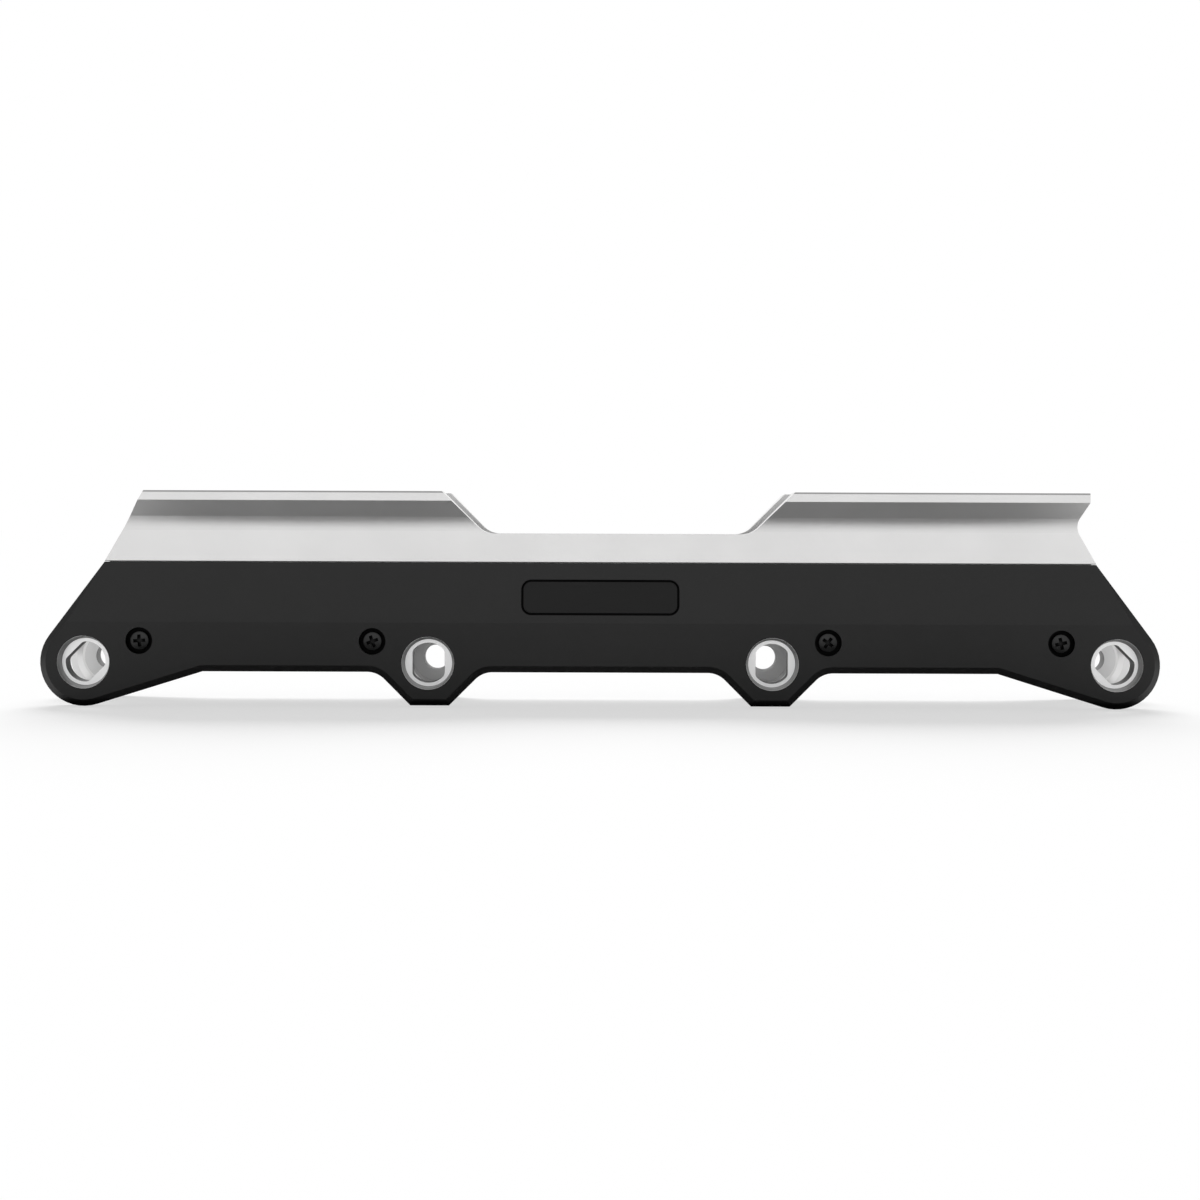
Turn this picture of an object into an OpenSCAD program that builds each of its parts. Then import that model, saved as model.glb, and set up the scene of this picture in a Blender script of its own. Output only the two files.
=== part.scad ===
// Inline skate frame without wheels: an aluminium chassis with two winged decks,
// a plastic skin screwed to each side, and a pressed-in bush at each axle hole.
// Millimetres, +Z up. X runs along the frame from the toe end (-X) to the heel
// end (+X), and -Y is the left side, whose bushes have keyed holes.
// The origin is under the middle of the wheelbase, on the surface it stands on.

/* [Axles and wheels] */
// Distance between neighbouring axles
axle_pitch = 83.5; // [82:0.5:87]
// Diameter of the wheels that the frame takes
wheel_d = 80; // [76:1:81]
// Room between a wheel and the deck above it
wheel_clearance = 1.5; // [1:0.25:2.5]
// Width between the bush faces that hold a wheel's bearings
bearing_gap = 24; // [23:0.5:26]

/* [Chassis walls] */
// How far a bush stands in from the inner face of its wall
bush_nose = 2; // [1.2:0.1:2.5]
// Thickness of a wall behind its skin
wall_t = 3.3; // [3:0.1:5]
// Height of the walls between the two decks, above the axles
wall_top = 31.5; // [29:0.5:34]
// Lean of the wall ends above the skins, from upright
wall_end_lean = 30; // [26:0.5:33]
// Small bevel on the lower edge of the upper wall
step_bevel = 0.15; // [0.1:0.05:0.8]
// How far the lower wall stays back from the lower edge of the skin
wall_inset = 1.6; // [0.5:0.1:1.8]
// How far it stays back round the end axles and above them
wall_end_inset = 0.6; // [0.2:0.1:1.8]

/* [Decks] */
// Height of the deck tops above the axles
deck_top = 41.7; // [41:0.1:43]
// Thickness of the deck plate between the walls
deck_t = 5; // [4:0.5:6]
// How far a deck wing stands out past the wall below it
wing_overhang = 3.8; // [2.5:0.1:5]
// Height of the upright edge of a wing
wing_edge = 2.3; // [1.5:0.1:3]
// Lean of the wing underside, from upright
wing_lean = 35; // [32:1:48]
// Radius where the wing underside runs into the wall
wing_fillet_r = 7.2; // [4:0.2:9]
// Bevel along the top edges of the wings
deck_bevel = 0.4; // [0.2:0.1:0.8]
// Inner end of the toe deck, measured inwards from the second axle
toe_deck_reach = 3.4; // [0:0.2:8]
// Inner end of the heel deck, measured outwards from the third axle
heel_deck_setback = 5.2; // [0:0.2:8]
// Outer end of the heel deck, measured inwards from the last axle
heel_end_setback = 7; // [6:0.1:8.5]
// Lean of the undercut below the heel deck end, from upright
heel_undercut_lean = 29; // [24:1:34]
// Radius at the bottom of the heel undercut
heel_fillet_r = 4.3; // [2:0.1:6]
// Radius where the inner deck ends run down to the walls
gap_fillet_r = 6; // [3:0.5:9]
// Corner radius of the wheel slots in the decks, seen from above
slot_corner_r = 5; // [3:0.5:8]

/* [Boot mount] */
// Distance between the two boot bolts
boot_bolt_spacing = 167; // [160:1:174]
// Diameter of the boot bolt holes
boot_hole_d = 6.5; // [5.5:0.1:8.5]
// Diameter of the spot face for a boot bolt's head, under the deck
boot_face_d = 13; // [11:0.5:16]
// Depth of that spot face
boot_face_depth = 0.8; // [0.3:0.1:1.5]

/* [Skins] */
// Thickness of a skin at its flat lower face
skin_t = 4; // [3.6:0.1:5]
// Thickness of a skin at its edges
skin_edge_t = 2.4; // [2:0.1:2.8]
// Radius of the skin round the end axles
end_boss_r = 10.7; // [10:0.1:12]
// Depth of the lower edge of a skin below the axles
belly_drop = 2.2; // [1:0.1:3]
// Depth of the middle bosses below the axles
boss_drop = 10.3; // [9.5:0.1:10.4]
// Width of the flat under a middle boss
boss_flat = 9.4; // [7:0.2:12]
// How far a middle boss sits in from its axle, towards the middle of the frame
boss_shift = 0.4; // [0:0.1:1]
// Radius where a middle boss runs into the lower edge
boss_fillet_r = 6; // [3:0.5:8]
// Slope of the lower edge up from an end boss
arm_slope = 17.4; // [15:0.1:22]
// Height of the top edge of a skin above the axles
skin_top = 24.35; // [22:0.1:27]
// Lean of the skin ends, from upright
skin_end_lean = 36.8; // [34:0.1:39]
// Height above the axles where the skin starts to lean in
crease_height = 9.8; // [7:0.1:12]
// Gap between the top edge of a skin and the chassis
skin_gap = 0.15; // [0.1:0.05:0.8]
// Diameter of the opening over an axle hole
skin_hole_d = 12.8; // [12.7:0.1:14]
// Thickness of the lip round that opening, over the bush
lip_t = 0.6; // [0.5:0.1:1]

/* [Bushes] */
// Diameter of a bush in its wall, and of its bearing face
bush_d = 12; // [11.6:0.1:13]
// Diameter of the flange behind the skin lip
flange_d = 15; // [14.4:0.1:16]
// Diameter of the cup at its rim
cup_rim_d = 12.6; // [12:0.1:12.7]
// Diameter of the cup at its floor
cup_floor_d = 11.5; // [11:0.1:12]
// Depth of the cup
cup_depth = 2.7; // [2:0.1:3.5]
// Diameter of the keyed hole, left side
key_d = 9.7; // [9:0.1:10.4]
// Width across the flats of the keyed hole
key_flats = 7.8; // [7:0.1:8.6]
// Radius of the corners of the keyed hole
key_corner_r = 1.5; // [0.5:0.1:2.5]
// Diameter of the bolt hole, right side
bolt_hole_d = 6.2; // [6:0.1:7]
// Base diameter of the cone round a bush inside the wall
collar_base_d = 17; // [15.5:0.5:17.5]
// Diameter of that cone at its top
collar_top_d = 13.6; // [13.3:0.1:15]
// Height of that cone
collar_h = 1; // [0.6:0.1:1.1]

/* [Skin screws] */
// Distance of a screw from its axle, towards the next wheel gap
screw_offset = 13.5; // [12:0.5:18]
// Height of the screws above the axles
screw_height = 5.25; // [4:0.25:6]
// Thread diameter
screw_d = 2.5; // [2:0.1:3]
// Length of the thread below the head
screw_len = 4.8; // [4:0.1:5]
// Head diameter
head_d = 4.4; // [4.2:0.1:5.4]
// Head height
head_h = 1.8; // [1.4:0.1:2]
// Radius of the domed head top
head_dome_r = 6; // [3.5:0.1:8]
// Diameter of the recess that the head sits in
recess_d = 6.5; // [6:0.1:7]
// Depth of that recess
recess_depth = 2.2; // [1.8:0.1:2.5]
// Length of the arms of the cross recess
cross_len = 2.9; // [2:0.1:3.4]
// Width of those arms
cross_w = 0.8; // [0.5:0.05:1]
// Depth of the cross recess
cross_depth = 1.1; // [0.6:0.1:1.3]

/* [Badge plates] */
// Length of a plate
badge_len = 37.3; // [30:0.1:44]
// Height of a plate
badge_h = 7.6; // [6:0.1:9]
// Corner radius of a plate
badge_r = 1.9; // [1:0.1:3]
// Thickness of a plate
badge_t = 0.8; // [0.5:0.1:1.2]
// Height of its middle above the axles
badge_height = 16.05; // [15.5:0.05:17.5]
// Width of the groove left round it
badge_groove = 0.55; // [0.3:0.05:0.8]

/* [Clearances] */
// Radial room of a bush in its wall
bush_fit = 0.02; // [0.01:0.01:0.05]
// Radial room of a skin round a bush flange
flange_clearance = 0.3; // [0.2:0.05:0.5]
// Room between the rim of a bush and the skin lip over it
lip_gap = 0.1; // [0.05:0.05:0.3]
// Radial room of a screw in the chassis and in its skin
screw_clearance = 0.05; // [0.03:0.01:0.1]

/* [Hidden] */
$fn = 96;
AXLES = [1:4];
LEFT = -1;
RIGHT = 1;
function numbered(stem) = [for (i = AXLES) str(stem, "_", i)];

// Turn of the keyed hole at each axle, and of the cross in each screw head
key_turn = [45, 90, 90, 135];
screw_turn = [4, 20, -35, 12];
// Overlap of joined shapes, and overrun of cuts
lap = 1;
// Extra radius of a fillet's arc, so that it crosses the edges it runs into
bite = 0.01;

// Half widths from the middle plane outwards
nose_y = bearing_gap / 2;
inner_y = nose_y + bush_nose;
wall_y = inner_y + wall_t;
upper_y = wall_y + skin_edge_t;
wing_y = upper_y + wing_overhang;
rim_y = wall_y + skin_t - lip_t - lip_gap;
screw_seat_y = wall_y + skin_t - recess_depth;

// Heights above the axles, and the axle height itself
axle_z = max(end_boss_r, boss_drop);
step_v = skin_top + skin_gap;
bevel = skin_t - skin_edge_t;
facet_lean = atan2(bevel, skin_top - crease_height);

// Places along the frame
function axle_x(i) = (i - 2.5) * axle_pitch;
function screw_x(i) = axle_x(i) + (i % 2 == 1 ? screw_offset : -screw_offset);
end_x = axle_x(4);
half_len = end_x + end_boss_r + lap;
wheel_reach = sqrt(pow(wheel_d / 2 + wheel_clearance, 2) - pow(deck_top - deck_t, 2));

// Where the straight edges of the side outline leave an end boss of radius r
function unit(a) = [cos(a), sin(a)];
function arm_point(r) = [end_x, 0] + r * unit(270 - arm_slope);
function lean_point(r) = [end_x, 0] + r * unit(skin_end_lean);
function arm_x(r, v) = arm_point(r)[0] - (v - arm_point(r)[1]) / tan(arm_slope);
function lean_x(r, v) = lean_point(r)[0] - (v - lean_point(r)[1]) * tan(skin_end_lean);
boss_x = axle_x(3) - boss_shift;
wall_end_x = lean_x(end_boss_r, skin_top);
function wall_lean_x(v) = wall_end_x - (v - step_v) * tan(wall_end_lean);

// Rounded inner corner: edges leave the corner at angles a and b, the void lies between
module corner_fillet(corner, a, b, r) {
    half = (b - a) / 2;
    run = r / tan(half);
    middle = unit(a + half);
    difference() {
        polygon([corner - lap * middle, corner + run * unit(a), corner + run * unit(b)]);
        translate(corner + r / sin(half) * middle)
            circle(r + bite);
    }
}

module rounded_rect(w, h, r) {
    square([w, h - 2 * r], center = true);
    square([w - 2 * r, h], center = true);
    for (sx = [-1, 1], sy = [-1, 1])
        translate([sx * (w / 2 - r), sy * (h / 2 - r)])
            circle(r);
}

// Stands a side-view shape (x along the frame, y up from the axles) on one side of the frame
module on_side(side) {
    translate([0, 0, axle_z])
        if (side == LEFT)
            rotate([90, 0, 0]) children();
        else
            mirror([0, 1, 0]) rotate([90, 0, 0]) children();
}

module both_ends() {
    children();
    mirror([1, 0, 0]) children();
}

// Half width of a middle boss where its flanks, at 45 degrees, meet the lower edge
function flank_half(inset) = boss_flat / 2 - inset * tan(22.5) + boss_drop - belly_drop;

// Side view of the lower wall, inset from the outline of its skin, up to height top
module side_outline(inset, end_inset, top) {
    r = end_boss_r - inset;
    end_r = end_boss_r - end_inset;
    low = inset - belly_drop;
    both_ends() {
        polygon([[-lap, low], [arm_x(r, low), low], arm_point(r), lean_point(end_r),
                 [lean_x(end_r, top), top], [-lap, top]]);
        translate([end_x, 0])
            circle(end_r);
        translate([boss_x, low]) {
            half = flank_half(inset);
            drop = boss_drop - belly_drop;
            polygon([[-half, 0], [drop - half, -drop], [half - drop, -drop], [half, 0],
                     [half, lap], [-half, lap]]);
            corner_fillet([-half, 0], 180, 315, boss_fillet_r + inset);
            corner_fillet([half, 0], 225, 360, boss_fillet_r + inset);
        }
    }
}

// Side view of the chassis above the skins
module upper_outline() {
    fall = deck_top - wall_top;
    toe_x = axle_x(2) + toe_deck_reach;
    heel_x = axle_x(3) + heel_deck_setback;
    back_x = end_x - heel_end_setback;
    back_v = deck_top - wing_edge;
    rise = tan(heel_undercut_lean);
    notch_v = (wall_end_x + step_v * tan(wall_end_lean) - back_x + back_v * rise)
        / (rise + tan(wall_end_lean));
    notch = [wall_lean_x(notch_v), notch_v];
    polygon([[-wall_end_x, step_v], [-wall_lean_x(deck_top), deck_top], [toe_x, deck_top],
             [toe_x + fall, wall_top], [heel_x - fall, wall_top], [heel_x, deck_top],
             [back_x, deck_top], [back_x, back_v], notch, [wall_end_x, step_v]]);
    corner_fillet([toe_x + fall, wall_top], 0, 135, gap_fillet_r);
    corner_fillet([heel_x - fall, wall_top], 45, 180, gap_fillet_r);
    corner_fillet(notch, wall_end_lean - 90, 90 - heel_undercut_lean, heel_fillet_r);
}

// Cross-section of the chassis, right half: wall, step for the skin, wing and half deck
module half_section() {
    wing_v = deck_top - wing_edge;
    corner_v = wing_v - wing_overhang / tan(wing_lean);
    polygon([[-lap, deck_top], [-lap, deck_top - deck_t], [inner_y, deck_top - deck_t],
             [inner_y, -end_boss_r], [wall_y, -end_boss_r], [wall_y, step_v],
             [upper_y - step_bevel, step_v], [upper_y, step_v + step_bevel],
             [upper_y, corner_v], [wing_y, wing_v],
             [wing_y, deck_top - deck_bevel], [wing_y - deck_bevel, deck_top]]);
    corner_fillet([upper_y, corner_v], -90, 90 - wing_lean, wing_fillet_r);
}

module chassis_blank() {
    intersection() {
        rotate([90, 0, 90])
            linear_extrude(2 * half_len, center = true) {
                half_section();
                mirror([1, 0]) half_section();
            }
        rotate([90, 0, 0])
            linear_extrude(2 * (wing_y + lap), center = true) {
                side_outline(wall_inset, wall_end_inset, step_v + lap);
                upper_outline();
            }
    }
}

// Cone round each bush, on the inner face of its wall
module collars(side) {
    on_side(side)
        for (i = AXLES)
            translate([axle_x(i), 0, inner_y - collar_h])
                rotate_extrude()
                    polygon([[0, 0], [collar_top_d / 2, 0], [collar_base_d / 2, collar_h],
                             [collar_base_d / 2, collar_h + lap], [0, collar_h + lap]]);
}

module wall_holes(side) {
    on_side(side)
        for (i = AXLES) {
            translate([axle_x(i), 0, nose_y - lap])
                cylinder(h = wall_y - nose_y + 2 * lap, d = bush_d + 2 * bush_fit);
            translate([screw_x(i), screw_height, inner_y - lap])
                cylinder(h = wall_t + 2 * lap, d = screw_d + 2 * screw_clearance);
        }
}

// Slots over the wheels, and the two boot bolt holes with their spot faces
module deck_cuts() {
    translate([0, 0, axle_z]) {
        for (i = AXLES)
            translate([axle_x(i), 0, wall_top - lap])
                linear_extrude(deck_top - wall_top + 2 * lap)
                    rounded_rect(2 * wheel_reach, 2 * inner_y, slot_corner_r);
        for (sx = [-1, 1])
            translate([sx * boot_bolt_spacing / 2, 0, deck_top - deck_t - lap]) {
                cylinder(h = deck_t + 2 * lap, d = boot_hole_d);
                cylinder(h = lap + boot_face_depth, d = boot_face_d);
            }
    }
}

module chassis() {
    color("gainsboro")
        difference() {
            union() {
                translate([0, 0, axle_z]) chassis_blank();
                collars(LEFT);
                collars(RIGHT);
            }
            wall_holes(LEFT);
            wall_holes(RIGHT);
            deck_cuts();
        }
}

// Convex block of a skin; each edge named in bevelled is cut back at 45 degrees
module skin_block(points, bevelled) {
    reach = 2 * bevel;
    difference() {
        linear_extrude(skin_t)
            polygon(points);
        for (k = bevelled) {
            from = points[k];
            step = points[(k + 1) % len(points)] - from;
            translate([from[0], from[1], skin_edge_t])
                rotate([0, 0, atan2(step[1], step[0])])
                    rotate([45, 0, 0])
                        translate([-reach, -reach, 0])
                            cube([norm(step) + 2 * reach, 2 * reach, reach]);
        }
    }
}

// Round post of a skin, whose rim moves by turn_in over the height of the bevel
module skin_post(r, turn_in) {
    rotate_extrude()
        polygon([[0, 0], [r, 0], [r, skin_edge_t], [r - turn_in, skin_t], [0, skin_t]]);
}

// Bevelled fillet between a middle boss and the lower edge of a skin
module skin_fillet(corner, a, b) {
    half = (b - a) / 2;
    near = boss_fillet_r - lap;
    far = boss_fillet_r + bevel + 2 * lap;
    translate(corner + boss_fillet_r / sin(half) * unit(a + half))
        difference() {
            linear_extrude(skin_t)
                polygon([near * unit(b + 90), far * unit(b + 90),
                         far * unit(a - 90), near * unit(a - 90)]);
            skin_post(boss_fillet_r + bite, -bevel);
        }
}

// Solid skin, bevelled along its lower edges and ends, and leaning in above the crease
module skin_blank() {
    r = end_boss_r;
    trunk_x = arm_x(r, -belly_drop) + 2 * lap;
    boss_half = boss_flat / 2;
    boss_rise = boss_drop - belly_drop + bevel + lap;
    difference() {
        union() {
            skin_block([[-trunk_x, -belly_drop], [trunk_x, -belly_drop],
                        [trunk_x, skin_top], [-trunk_x, skin_top]], [0]);
            both_ends() {
                skin_block([[arm_x(r, 0), 0], arm_point(r), lean_point(r),
                            [lean_x(r, skin_top), skin_top], [arm_x(r, 0), skin_top]], [0, 2]);
                translate([end_x, 0])
                    skin_post(r, bevel);
                translate([boss_x, -boss_drop])
                    skin_block([[-boss_half, 0], [boss_half, 0], [boss_half + boss_rise, boss_rise],
                                [-boss_half - boss_rise, boss_rise]], [0, 1, 3]);
                translate([boss_x, -belly_drop]) {
                    skin_fillet([-flank_half(0), 0], 180, 315);
                    skin_fillet([flank_half(0), 0], 225, 360);
                }
            }
        }
        translate([0, crease_height, skin_t])
            rotate([-facet_lean, 0, 0])
                translate([-half_len, 0, 0])
                    cube([2 * half_len, skin_top, bevel + lap]);
    }
}

// Places a child on the leaning facet, at the middle of the badge plate
module on_facet() {
    up = badge_height - crease_height;
    translate([0, badge_height, wall_y + skin_t - up * tan(facet_lean)])
        rotate([-facet_lean, 0, 0]) children();
}

module skin(side) {
    color([0.13, 0.13, 0.13])
        on_side(side)
            difference() {
                translate([0, 0, wall_y])
                    skin_blank();
                for (i = AXLES) {
                    translate([axle_x(i), 0, wall_y - lap]) {
                        cylinder(h = skin_t + 2 * lap, d = skin_hole_d);
                        cylinder(h = skin_t - lip_t + lap, d = flange_d + 2 * flange_clearance);
                    }
                    translate([screw_x(i), screw_height, wall_y - lap])
                        cylinder(h = skin_t + 2 * lap, d = screw_d + 2 * screw_clearance);
                    translate([screw_x(i), screw_height, screw_seat_y])
                        cylinder(h = recess_depth + lap, d = recess_d);
                }
                on_facet()
                    translate([0, 0, -badge_t])
                        linear_extrude(badge_t + lap)
                            rounded_rect(badge_len + 2 * badge_groove, badge_h + 2 * badge_groove,
                                         badge_r + badge_groove);
            }
}

module badge(side) {
    color([0.15, 0.15, 0.15])
        on_side(side)
            on_facet()
                translate([0, 0, -badge_t])
                    linear_extrude(badge_t)
                        rounded_rect(badge_len, badge_h, badge_r);
}

// Hole with two flats and rounded corners, for an axle that must not turn
module keyed_hole(i) {
    up = key_flats / 2 - key_corner_r;
    corner_a = asin(up / (key_d / 2 - key_corner_r));
    out = up / tan(corner_a);
    rotate(key_turn[i - 1]) {
        square([2 * out, key_flats], center = true);
        both_ends() {
            intersection() {
                circle(d = key_d);
                polygon([[0, 0], key_d * unit(-corner_a), key_d * unit(corner_a)]);
            }
            for (sy = [-1, 1])
                translate([out, sy * up])
                    circle(key_corner_r);
        }
    }
}

module bush(side, i) {
    widen = (cup_rim_d - cup_floor_d) / cup_depth * lap;
    color("silver")
        on_side(side)
            translate([axle_x(i), 0, 0])
                difference() {
                    union() {
                        translate([0, 0, nose_y])
                            cylinder(h = rim_y - nose_y, d = bush_d);
                        translate([0, 0, wall_y])
                            cylinder(h = rim_y - wall_y, d = flange_d);
                    }
                    translate([0, 0, rim_y - cup_depth])
                        cylinder(h = cup_depth + lap, d1 = cup_floor_d, d2 = cup_rim_d + widen);
                    translate([0, 0, nose_y - lap])
                        linear_extrude(rim_y - nose_y)
                            if (side == LEFT)
                                keyed_hole(i);
                            else
                                circle(d = bolt_hole_d);
                }
}

// Pan head screw with a cross recess, its head on the floor of the skin's recess
module screw(side, i) {
    color([0.06, 0.06, 0.06])
        on_side(side)
            translate([screw_x(i), screw_height, screw_seat_y]) {
                difference() {
                    intersection() {
                        cylinder(h = head_h, d = head_d);
                        translate([0, 0, head_h - head_dome_r])
                            sphere(head_dome_r);
                    }
                    for (turn = [0, 90])
                        rotate(turn + screw_turn[i - 1])
                            translate([-cross_len / 2, -cross_w / 2, head_h - cross_depth])
                                cube([cross_len, cross_w, cross_depth + lap]);
                }
                translate([0, 0, -screw_len])
                    cylinder(h = screw_len + head_h - cross_depth, d = screw_d);
            }
}

chassis();
skin(LEFT);  // left_skin
skin(RIGHT);  // right_skin
badge(LEFT);  // left_badge
badge(RIGHT);  // right_badge
for (i = AXLES) {
    bush(LEFT, i);
    bush(RIGHT, i);
    screw(LEFT, i);
    screw(RIGHT, i);
}
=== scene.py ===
"""Looks of a bare inline skate frame: the finish of each piece, a pale floor, soft light and the camera.

Metres, +Z up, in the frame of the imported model. The left side faces the camera, which looks along +Y.
"""
import math

import bpy
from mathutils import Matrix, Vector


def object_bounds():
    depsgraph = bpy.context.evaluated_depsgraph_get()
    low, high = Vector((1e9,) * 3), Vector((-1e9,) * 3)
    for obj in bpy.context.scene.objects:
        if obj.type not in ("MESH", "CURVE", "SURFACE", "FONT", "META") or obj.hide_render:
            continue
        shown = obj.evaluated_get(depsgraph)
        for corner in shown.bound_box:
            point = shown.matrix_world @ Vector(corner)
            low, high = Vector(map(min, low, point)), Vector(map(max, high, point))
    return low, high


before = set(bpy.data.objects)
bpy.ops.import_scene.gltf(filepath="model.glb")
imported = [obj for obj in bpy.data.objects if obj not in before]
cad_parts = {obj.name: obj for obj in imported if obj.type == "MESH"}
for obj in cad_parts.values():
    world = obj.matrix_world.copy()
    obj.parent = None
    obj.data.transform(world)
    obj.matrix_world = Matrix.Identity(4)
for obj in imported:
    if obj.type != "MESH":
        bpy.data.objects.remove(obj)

CAD_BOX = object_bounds()
MM = 0.001
AXLES = range(1, 5)
SIDES = ("left", "right")

# Camera: the photograph is a square of this many pixels, and the optical axis meets it at this one
PHOTO_SIZE = 1200
AXIS_PIXEL = (604.1, 531.0)
FOCAL_PIXELS = 2655
SENSOR = 36.0
CAMERA_AT = (0.85 * MM, -664.3 * MM, 42.9 * MM)
CAMERA_ROLL = math.radians(-0.205)

# Light: radiance of the surroundings, and of the lamp as seen on a white surface that faces it
AMBIENT = 0.26
SUN_LIGHT = 1.56
SUN_ELEVATION = math.radians(33)
SUN_SPREAD = math.radians(40)
# Radiance that reflections find before and behind the frame, at the horizon and above it, and elsewhere
HORIZON, SKY, ELSEWHERE = 0.80, 1.30, 0.4
# Height of a direction, as part of its length, at which the sky is at its full radiance
SKY_HEIGHT = 0.28
# Part of a direction along Y over which what is elsewhere gives way to horizon and sky
SKY_SIDES = (0.3, 0.8)

FLOOR_SIZE = 40.0
FLOOR_COLOUR = (0.90, 0.90, 0.90, 1.0)
# Share of plain white in the floor as the camera sees it, which softens the shadow
FLOOR_WHITE = 0.6

# Range that noise mostly keeps to
NOISE_RANGE = (0.3, 0.7)

# Bushes, in mm from the middle plane, over which painted shade fades: from their inner to their outer
# ends, and from bore to cup
PAINTED_SHADE_END_DEPTHS = (13, 17)
PAINTED_SHADE_BORE_DEPTHS = (17.5, 19)
# How far a normal points along the axles, from the side of a bore to an end face
FACING = (0.3, 0.9)
# Lathe rings, as noise steps over the width of a bush
RINGS = 90

# Edges: closer points than this are merged, flatter edges are left out, and sharper ones are rounded
SEW_DISTANCE = 0.002 * MM
FLAT_ANGLE = math.radians(0.5)
EDGE_ANGLE = math.radians(28)
EDGE_SEGMENTS = 2
KEPT_NORMAL = "surface_normal"


def nodes_named(stem):
    """Both sides' nodes of one kind, numbered ones in order."""
    found = []
    for side in SIDES:
        plain = f"{side}_{stem}"
        names = [plain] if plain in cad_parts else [f"{plain}_{i}" for i in AXLES]
        found += [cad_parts[n] for n in names]
    return found


def grey(level, warmth=0.0):
    return (level * (1 + warmth), level, level * (1 - warmth), 1.0)


def put(tree, socket, value):
    """Sets a socket, or links it if the value is another node's output."""
    if isinstance(value, bpy.types.NodeSocket):
        tree.links.new(value, socket)
    else:
        socket.default_value = value


def mix(tree, share, first, second):
    """Mixes two colours."""
    node = tree.nodes.new("ShaderNodeMix")
    node.data_type = "RGBA"
    put(tree, node.inputs["Factor"], share)
    for socket, colour in zip((s for s in node.inputs if s.type == "RGBA"), (first, second)):
        put(tree, socket, colour)
    return next(s for s in node.outputs if s.type == "RGBA")


def spread(tree, value, low, high, start, end):
    """Maps start..end of a value to low..high."""
    node = tree.nodes.new("ShaderNodeMapRange")
    for name, number in (("From Min", start), ("From Max", end), ("To Min", low), ("To Max", high)):
        node.inputs[name].default_value = number
    put(tree, node.inputs["Value"], value)
    return node.outputs["Result"]


SOCKETS = {
    "colour": "Base Color",
    "metallic": "Metallic",
    "roughness": "Roughness",
    "gloss": "Specular IOR Level",
}


class Finish:
    """A node material, built up around its main shader."""

    def __init__(self, name):
        self.material = bpy.data.materials.new(name)
        self.material.use_nodes = True
        self.tree = self.material.node_tree
        self.shader = self.tree.nodes["Principled BSDF"]
        coords = self.tree.nodes.new("ShaderNodeTexCoord")
        self.generated = coords.outputs["Generated"]
        self.normal = coords.outputs["Normal"]
        self.place = self.vector("SCALE", coords.outputs["Object"], scale=1 / MM)

    def put(self, socket, value):
        put(self.tree, socket, value)

    def set(self, **sockets):
        """Sets sockets of the main shader, each by its short name."""
        for name, value in sockets.items():
            self.put(self.shader.inputs[SOCKETS[name]], value)

    def vector(self, operation, first, second=None, scale=None):
        """Result of a vector operation, which is a number for LENGTH."""
        node = self.tree.nodes.new("ShaderNodeVectorMath")
        node.operation = operation
        self.put(node.inputs[0], first)
        if second is not None:
            self.put(node.inputs[1], second)
        if scale is not None:
            self.put(node.inputs["Scale"], scale)
        return node.outputs["Value" if operation == "LENGTH" else "Vector"]

    def noise(self, size, detail=2.0, stretch=(1, 1, 1)):
        """Cloudy values around 0.5, in patches of about size mm, drawn out by stretch."""
        at = self.vector("DIVIDE", self.place, tuple(size * s for s in stretch))
        node = self.tree.nodes.new("ShaderNodeTexNoise")
        self.put(node.inputs["Vector"], at)
        node.inputs["Scale"].default_value = 1.0
        node.inputs["Detail"].default_value = detail
        return node.outputs["Fac"]

    def spread(self, value, low, high, start=NOISE_RANGE[0], end=NOISE_RANGE[1]):
        """Maps start..end of a value to low..high."""
        return spread(self.tree, value, low, high, start, end)

    def blend(self, share, first, second):
        """Mixes two colours."""
        return mix(self.tree, share, first, second)

    def across(self, vector):
        """Size of a vector along the axles."""
        return self.vector("LENGTH", self.vector("MULTIPLY", vector, (0, 1, 0)))

    def openness(self, reach, alone=False):
        """How much of the space within reach mm of the surface is free, of this piece alone or of all."""
        node = self.tree.nodes.new("ShaderNodeAmbientOcclusion")
        node.only_local = alone
        node.inputs["Distance"].default_value = reach * MM
        return node.outputs["AO"]

    def bump(self, height, depth):
        """Raises the surface by depth mm where height is 1."""
        node = self.tree.nodes.new("ShaderNodeBump")
        node.inputs["Distance"].default_value = depth * MM
        self.put(node.inputs["Height"], height)
        self.put(self.shader.inputs["Normal"], node.outputs["Normal"])


def satin_aluminium():
    """Bead-blasted, clear anodised extrusion, with painted shade where the channel encloses it."""
    finish = Finish("satin_aluminium")
    grain = finish.noise(0.22, detail=3)
    clouds = finish.spread(finish.noise(18), 0, 1)
    # Painted shade: a dark grey for the walls and decks where the channel encloses them
    painted_shade_grey = grey(0.36)
    outside = finish.blend(clouds, grey(0.72, 0.004), grey(0.76, 0.004))
    # Mask of the painted shade: the share of space within 60 mm that the chassis leaves free
    free = finish.spread(finish.openness(60, alone=True), 0, 1, start=0.3, end=0.7)
    finish.set(
        colour=finish.blend(free, painted_shade_grey, outside),
        metallic=1.0,
        roughness=finish.spread(grain, 0.28, 0.36))
    finish.bump(grain, 0.012)
    return finish.material


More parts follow.
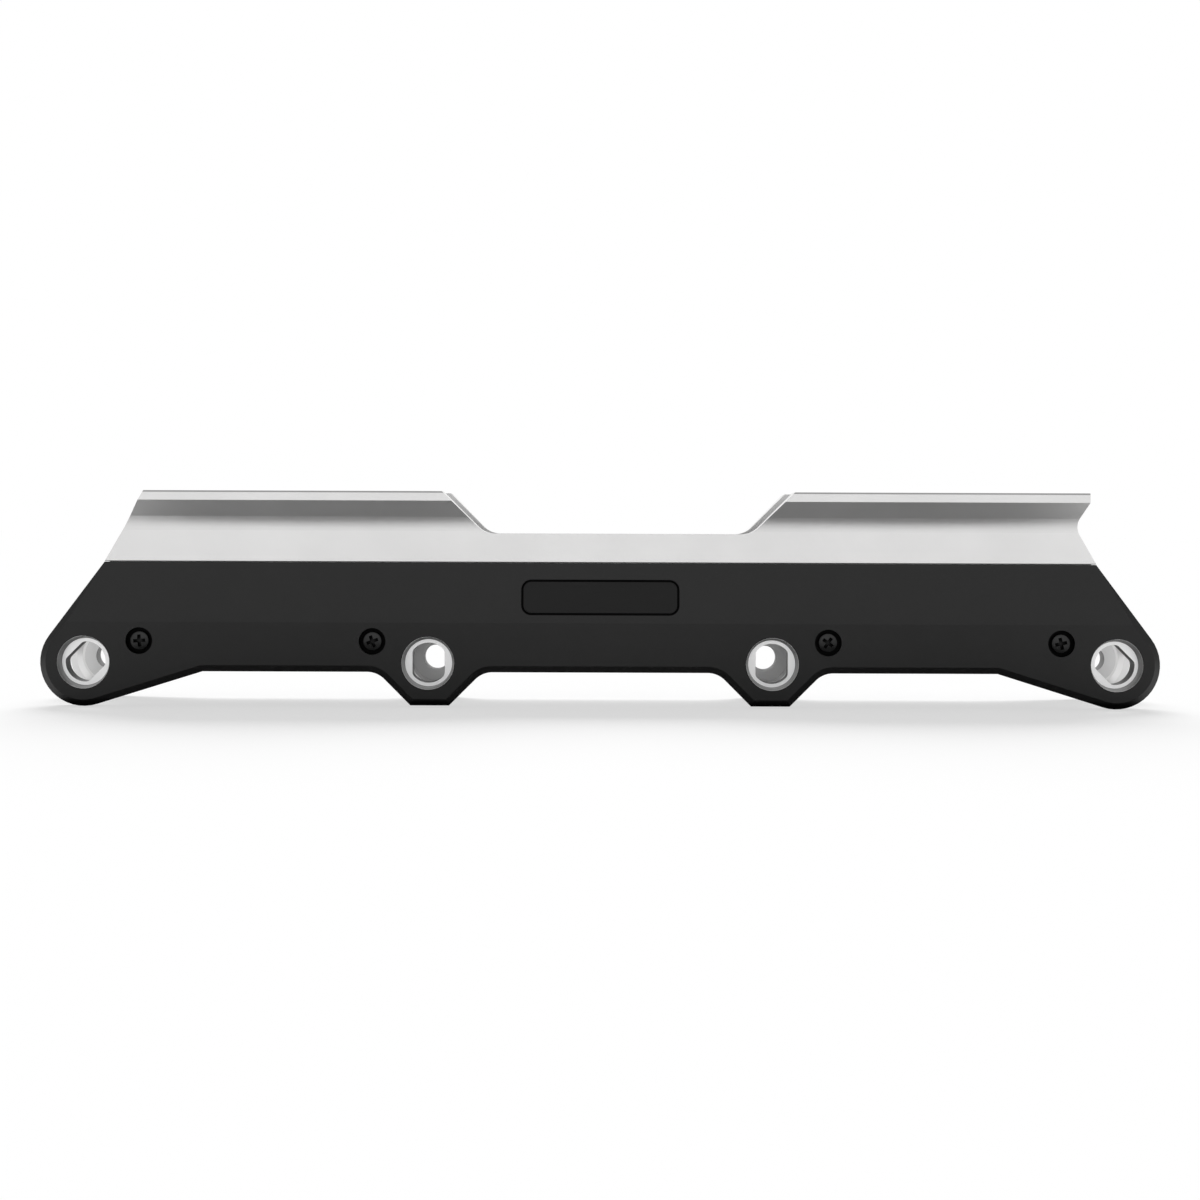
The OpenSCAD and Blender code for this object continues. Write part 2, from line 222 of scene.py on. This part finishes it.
def turned_aluminium():
    """Bright cups, with fine rings from the lathe, and painted shade that darkens the bores and the inner
    ends.
    """
    finish = Finish("turned_aluminium")
    end_face = finish.spread(finish.across(finish.normal), 0, 1, *FACING)
    depth = finish.across(finish.place)
    # Painted shade: end faces darker towards the inner ends, in the channel
    ends = finish.blend(finish.spread(depth, 0, 1, *PAINTED_SHADE_END_DEPTHS), grey(0.64), grey(0.82))
    # Painted shade: the sides of the bores dark, darkest deep in the bore
    sides = finish.blend(finish.spread(depth, 0, 1, *PAINTED_SHADE_BORE_DEPTHS), grey(0.22), grey(0.40))
    from_middle = finish.vector("SUBTRACT", finish.generated, (0.5, 0.5, 0.5))
    radius = finish.vector("LENGTH", finish.vector("MULTIPLY", from_middle, (1, 0, 1)))
    rings = finish.tree.nodes.new("ShaderNodeTexNoise")
    rings.noise_dimensions = "1D"
    rings.inputs["Scale"].default_value = RINGS
    finish.put(rings.inputs["W"], radius)
    finish.set(
        colour=finish.blend(end_face, sides, ends),
        metallic=1.0,
        roughness=finish.spread(end_face, 0.55, 0.34, start=0, end=1))
    finish.bump(rings.outputs["Fac"], 0.004)
    return finish.material


def moulded_plastic():
    """Matte black skins, with a fine spark-eroded texture, and painted shade that takes the gloss out of
    their recesses.
    """
    finish = Finish("moulded_plastic")
    texture = finish.noise(0.35, detail=4)
    clouds = finish.spread(finish.noise(9), 0, 1)
    finish.set(
        colour=finish.blend(clouds, grey(0.004), grey(0.006)),
        roughness=finish.spread(texture, 0.34, 0.44),
        # Painted shade: the gloss is taken out where the skin is enclosed, by an occlusion mask
        gloss=finish.spread(finish.openness(2.5), 0.02, 0.34, start=0.4, end=0.8))
    finish.bump(texture, 0.012)
    return finish.material


def badge_film():
    """Satin black plate, with hairlines along it."""
    finish = Finish("badge_film")
    hairlines = finish.noise(0.12, detail=3, stretch=(40, 1, 1))
    finish.set(
        colour=finish.blend(hairlines, grey(0.004), grey(0.007)),
        roughness=finish.spread(hairlines, 0.36, 0.48),
        gloss=0.22)
    finish.bump(hairlines, 0.002)
    return finish.material


def blackened_steel():
    """Black coated screws, with painted shade that takes the gloss out of the cross."""
    finish = Finish("blackened_steel")
    grain = finish.noise(0.15, detail=3)
    finish.set(
        colour=finish.blend(finish.noise(0.8), grey(0.003), grey(0.006)),
        roughness=finish.spread(grain, 0.30, 0.42),
        # Painted shade: the gloss is taken out where the head is enclosed, by an occlusion mask
        gloss=finish.spread(finish.openness(1.5), 0.02, 0.42, start=0.4, end=0.9))
    finish.bump(grain, 0.004)
    return finish.material


def white_paper():
    """Floor that takes the frame's shadow, which the camera sees softened."""
    finish = Finish("white_paper")
    finish.set(colour=FLOOR_COLOUR, roughness=0.9, gloss=0.0)
    glow = finish.tree.nodes.new("ShaderNodeEmission")
    seen = finish.tree.nodes.new("ShaderNodeMixShader")
    rays = finish.tree.nodes.new("ShaderNodeLightPath")
    white = finish.spread(rays.outputs["Is Camera Ray"], 0, FLOOR_WHITE, start=0, end=1)
    finish.put(seen.inputs["Fac"], white)
    finish.put(seen.inputs[1], finish.shader.outputs["BSDF"])
    finish.put(seen.inputs[2], glow.outputs["Emission"])
    finish.put(finish.tree.nodes["Material Output"].inputs["Surface"], seen.outputs[0])
    return finish.material


def shading_group(name, steps):
    """A geometry node group that runs its steps one after the other.

    Each step is a kind of node, its settings, its input values, and what makes its vector input, if any.
    """
    group = bpy.data.node_groups.new(name, "GeometryNodeTree")
    for direction in ("INPUT", "OUTPUT"):
        group.interface.new_socket("Geometry", in_out=direction, socket_type="NodeSocketGeometry")
    last = group.nodes.new("NodeGroupInput").outputs[0]
    for kind, settings, values, make_vector in steps:
        node = group.nodes.new(kind)
        for key, value in settings.items():
            setattr(node, key, value)
        for key, value in values.items():
            node.inputs[key].default_value = value
        if make_vector:
            socket = next(s for s in node.inputs if s.type == "VECTOR")
            group.links.new(make_vector(group), socket)
        group.links.new(last, node.inputs[0])
        last = node.outputs[0]
    group.links.new(last, group.nodes.new("NodeGroupOutput").inputs[0])
    return group


def own_normal(group):
    return group.nodes.new("GeometryNodeInputNormal").outputs["Normal"]


def kept_normal(group):
    node = group.nodes.new("GeometryNodeInputNamedAttribute")
    node.data_type = "FLOAT_VECTOR"
    node.inputs["Name"].default_value = KEPT_NORMAL
    return node.outputs["Attribute"]


SEW_TOGETHER = shading_group("sew_together", [
    ("GeometryNodeStoreNamedAttribute", {"data_type": "FLOAT_VECTOR", "domain": "CORNER"},
     {"Name": KEPT_NORMAL}, own_normal),
    ("GeometryNodeMergeByDistance", {}, {"Distance": SEW_DISTANCE}, None),
])
SHADE = shading_group("shade", [
    ("GeometryNodeSetMeshNormal", {"mode": "FREE", "domain": "CORNER"}, {}, kept_normal),
])


def dress(objects, material, edge):
    """Gives objects a finish and edges rounded by edge mm. Their faces keep the shading of the solid."""
    for obj in objects:
        obj.data.materials.clear()
        obj.data.materials.append(material)
        obj.modifiers.new("sew_together", "NODES").node_group = SEW_TOGETHER
        planes = obj.modifiers.new("planes", "DECIMATE")
        planes.decimate_type = "DISSOLVE"
        planes.angle_limit = FLAT_ANGLE
        rounding = obj.modifiers.new("rounding", "BEVEL")
        rounding.width = edge * MM
        rounding.segments = EDGE_SEGMENTS
        rounding.limit_method = "ANGLE"
        rounding.angle_limit = EDGE_ANGLE
        obj.modifiers.new("shade", "NODES").node_group = SHADE


def make_camera():
    lens = bpy.data.cameras.new("camera")
    lens.sensor_width = SENSOR
    lens.lens = SENSOR * FOCAL_PIXELS / PHOTO_SIZE
    lens.shift_x = 0.5 - AXIS_PIXEL[0] / PHOTO_SIZE
    lens.shift_y = AXIS_PIXEL[1] / PHOTO_SIZE - 0.5
    camera = bpy.data.objects.new("camera", lens)
    camera.location = CAMERA_AT
    camera.rotation_euler = (math.pi / 2, CAMERA_ROLL, 0)
    bpy.context.scene.collection.objects.link(camera)
    bpy.context.scene.camera = camera


def make_floor():
    half = FLOOR_SIZE / 2
    corners = [(-half, -half, 0), (half, -half, 0), (half, half, 0), (-half, half, 0)]
    mesh = bpy.data.meshes.new("floor")
    mesh.from_pydata(corners, [], [(0, 1, 2, 3)])
    mesh.materials.append(white_paper())
    floor = bpy.data.objects.new("floor", mesh)
    floor.location.z = CAD_BOX[0].z
    bpy.context.scene.collection.objects.link(floor)


def make_lamp():
    """A soft lamp high behind the frame, which neither the camera nor a reflection shows."""
    sun = bpy.data.lights.new("back_light", "SUN")
    sun.energy = math.pi * SUN_LIGHT
    sun.angle = SUN_SPREAD
    lamp = bpy.data.objects.new("back_light", sun)
    lamp.rotation_euler = (math.pi / 2 - SUN_ELEVATION, 0, math.pi)
    lamp.visible_camera = False
    lamp.visible_glossy = False
    bpy.context.scene.collection.objects.link(lamp)


def reflected_sky(tree):
    """What a reflection finds around the frame: bright before and behind it, dimmer elsewhere."""
    coords = tree.nodes.new("ShaderNodeTexCoord")
    direction = tree.nodes.new("ShaderNodeSeparateXYZ")
    put(tree, direction.inputs[0], coords.outputs["Generated"])
    depth = tree.nodes.new("ShaderNodeMath")
    depth.operation = "ABSOLUTE"
    put(tree, depth.inputs[0], direction.outputs["Y"])
    rise = spread(tree, direction.outputs["Z"], 0, 1, start=0, end=SKY_HEIGHT)
    ahead = spread(tree, depth.outputs[0], 0, 1, *SKY_SIDES)
    return mix(tree, ahead, grey(ELSEWHERE), mix(tree, rise, grey(HORIZON), grey(SKY)))


def make_surroundings():
    """Even light on the frame, white to the camera, and a sky of their own in reflections."""
    world = bpy.data.worlds.new("surroundings")
    world.use_nodes = True
    bpy.context.scene.world = world
    tree = world.node_tree
    rays = tree.nodes.new("ShaderNodeLightPath")
    white = grey(1.0)
    colour = grey(AMBIENT)
    for ray, seen in (("Is Glossy Ray", reflected_sky(tree)), ("Is Transmission Ray", white),
                      ("Is Camera Ray", white)):
        colour = mix(tree, rays.outputs[ray], colour, seen)
    put(tree, tree.nodes["Background"].inputs["Color"], colour)


make_camera()
make_floor()
make_lamp()
make_surroundings()
dress([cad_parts["chassis"]], satin_aluminium(), edge=0.2)
dress(nodes_named("bush"), turned_aluminium(), edge=0.12)
dress(nodes_named("skin"), moulded_plastic(), edge=0.25)
dress(nodes_named("badge"), badge_film(), edge=0.12)
dress(nodes_named("screw"), blackened_steel(), edge=0.1)

bpy.context.scene.view_settings.view_transform = "Standard"
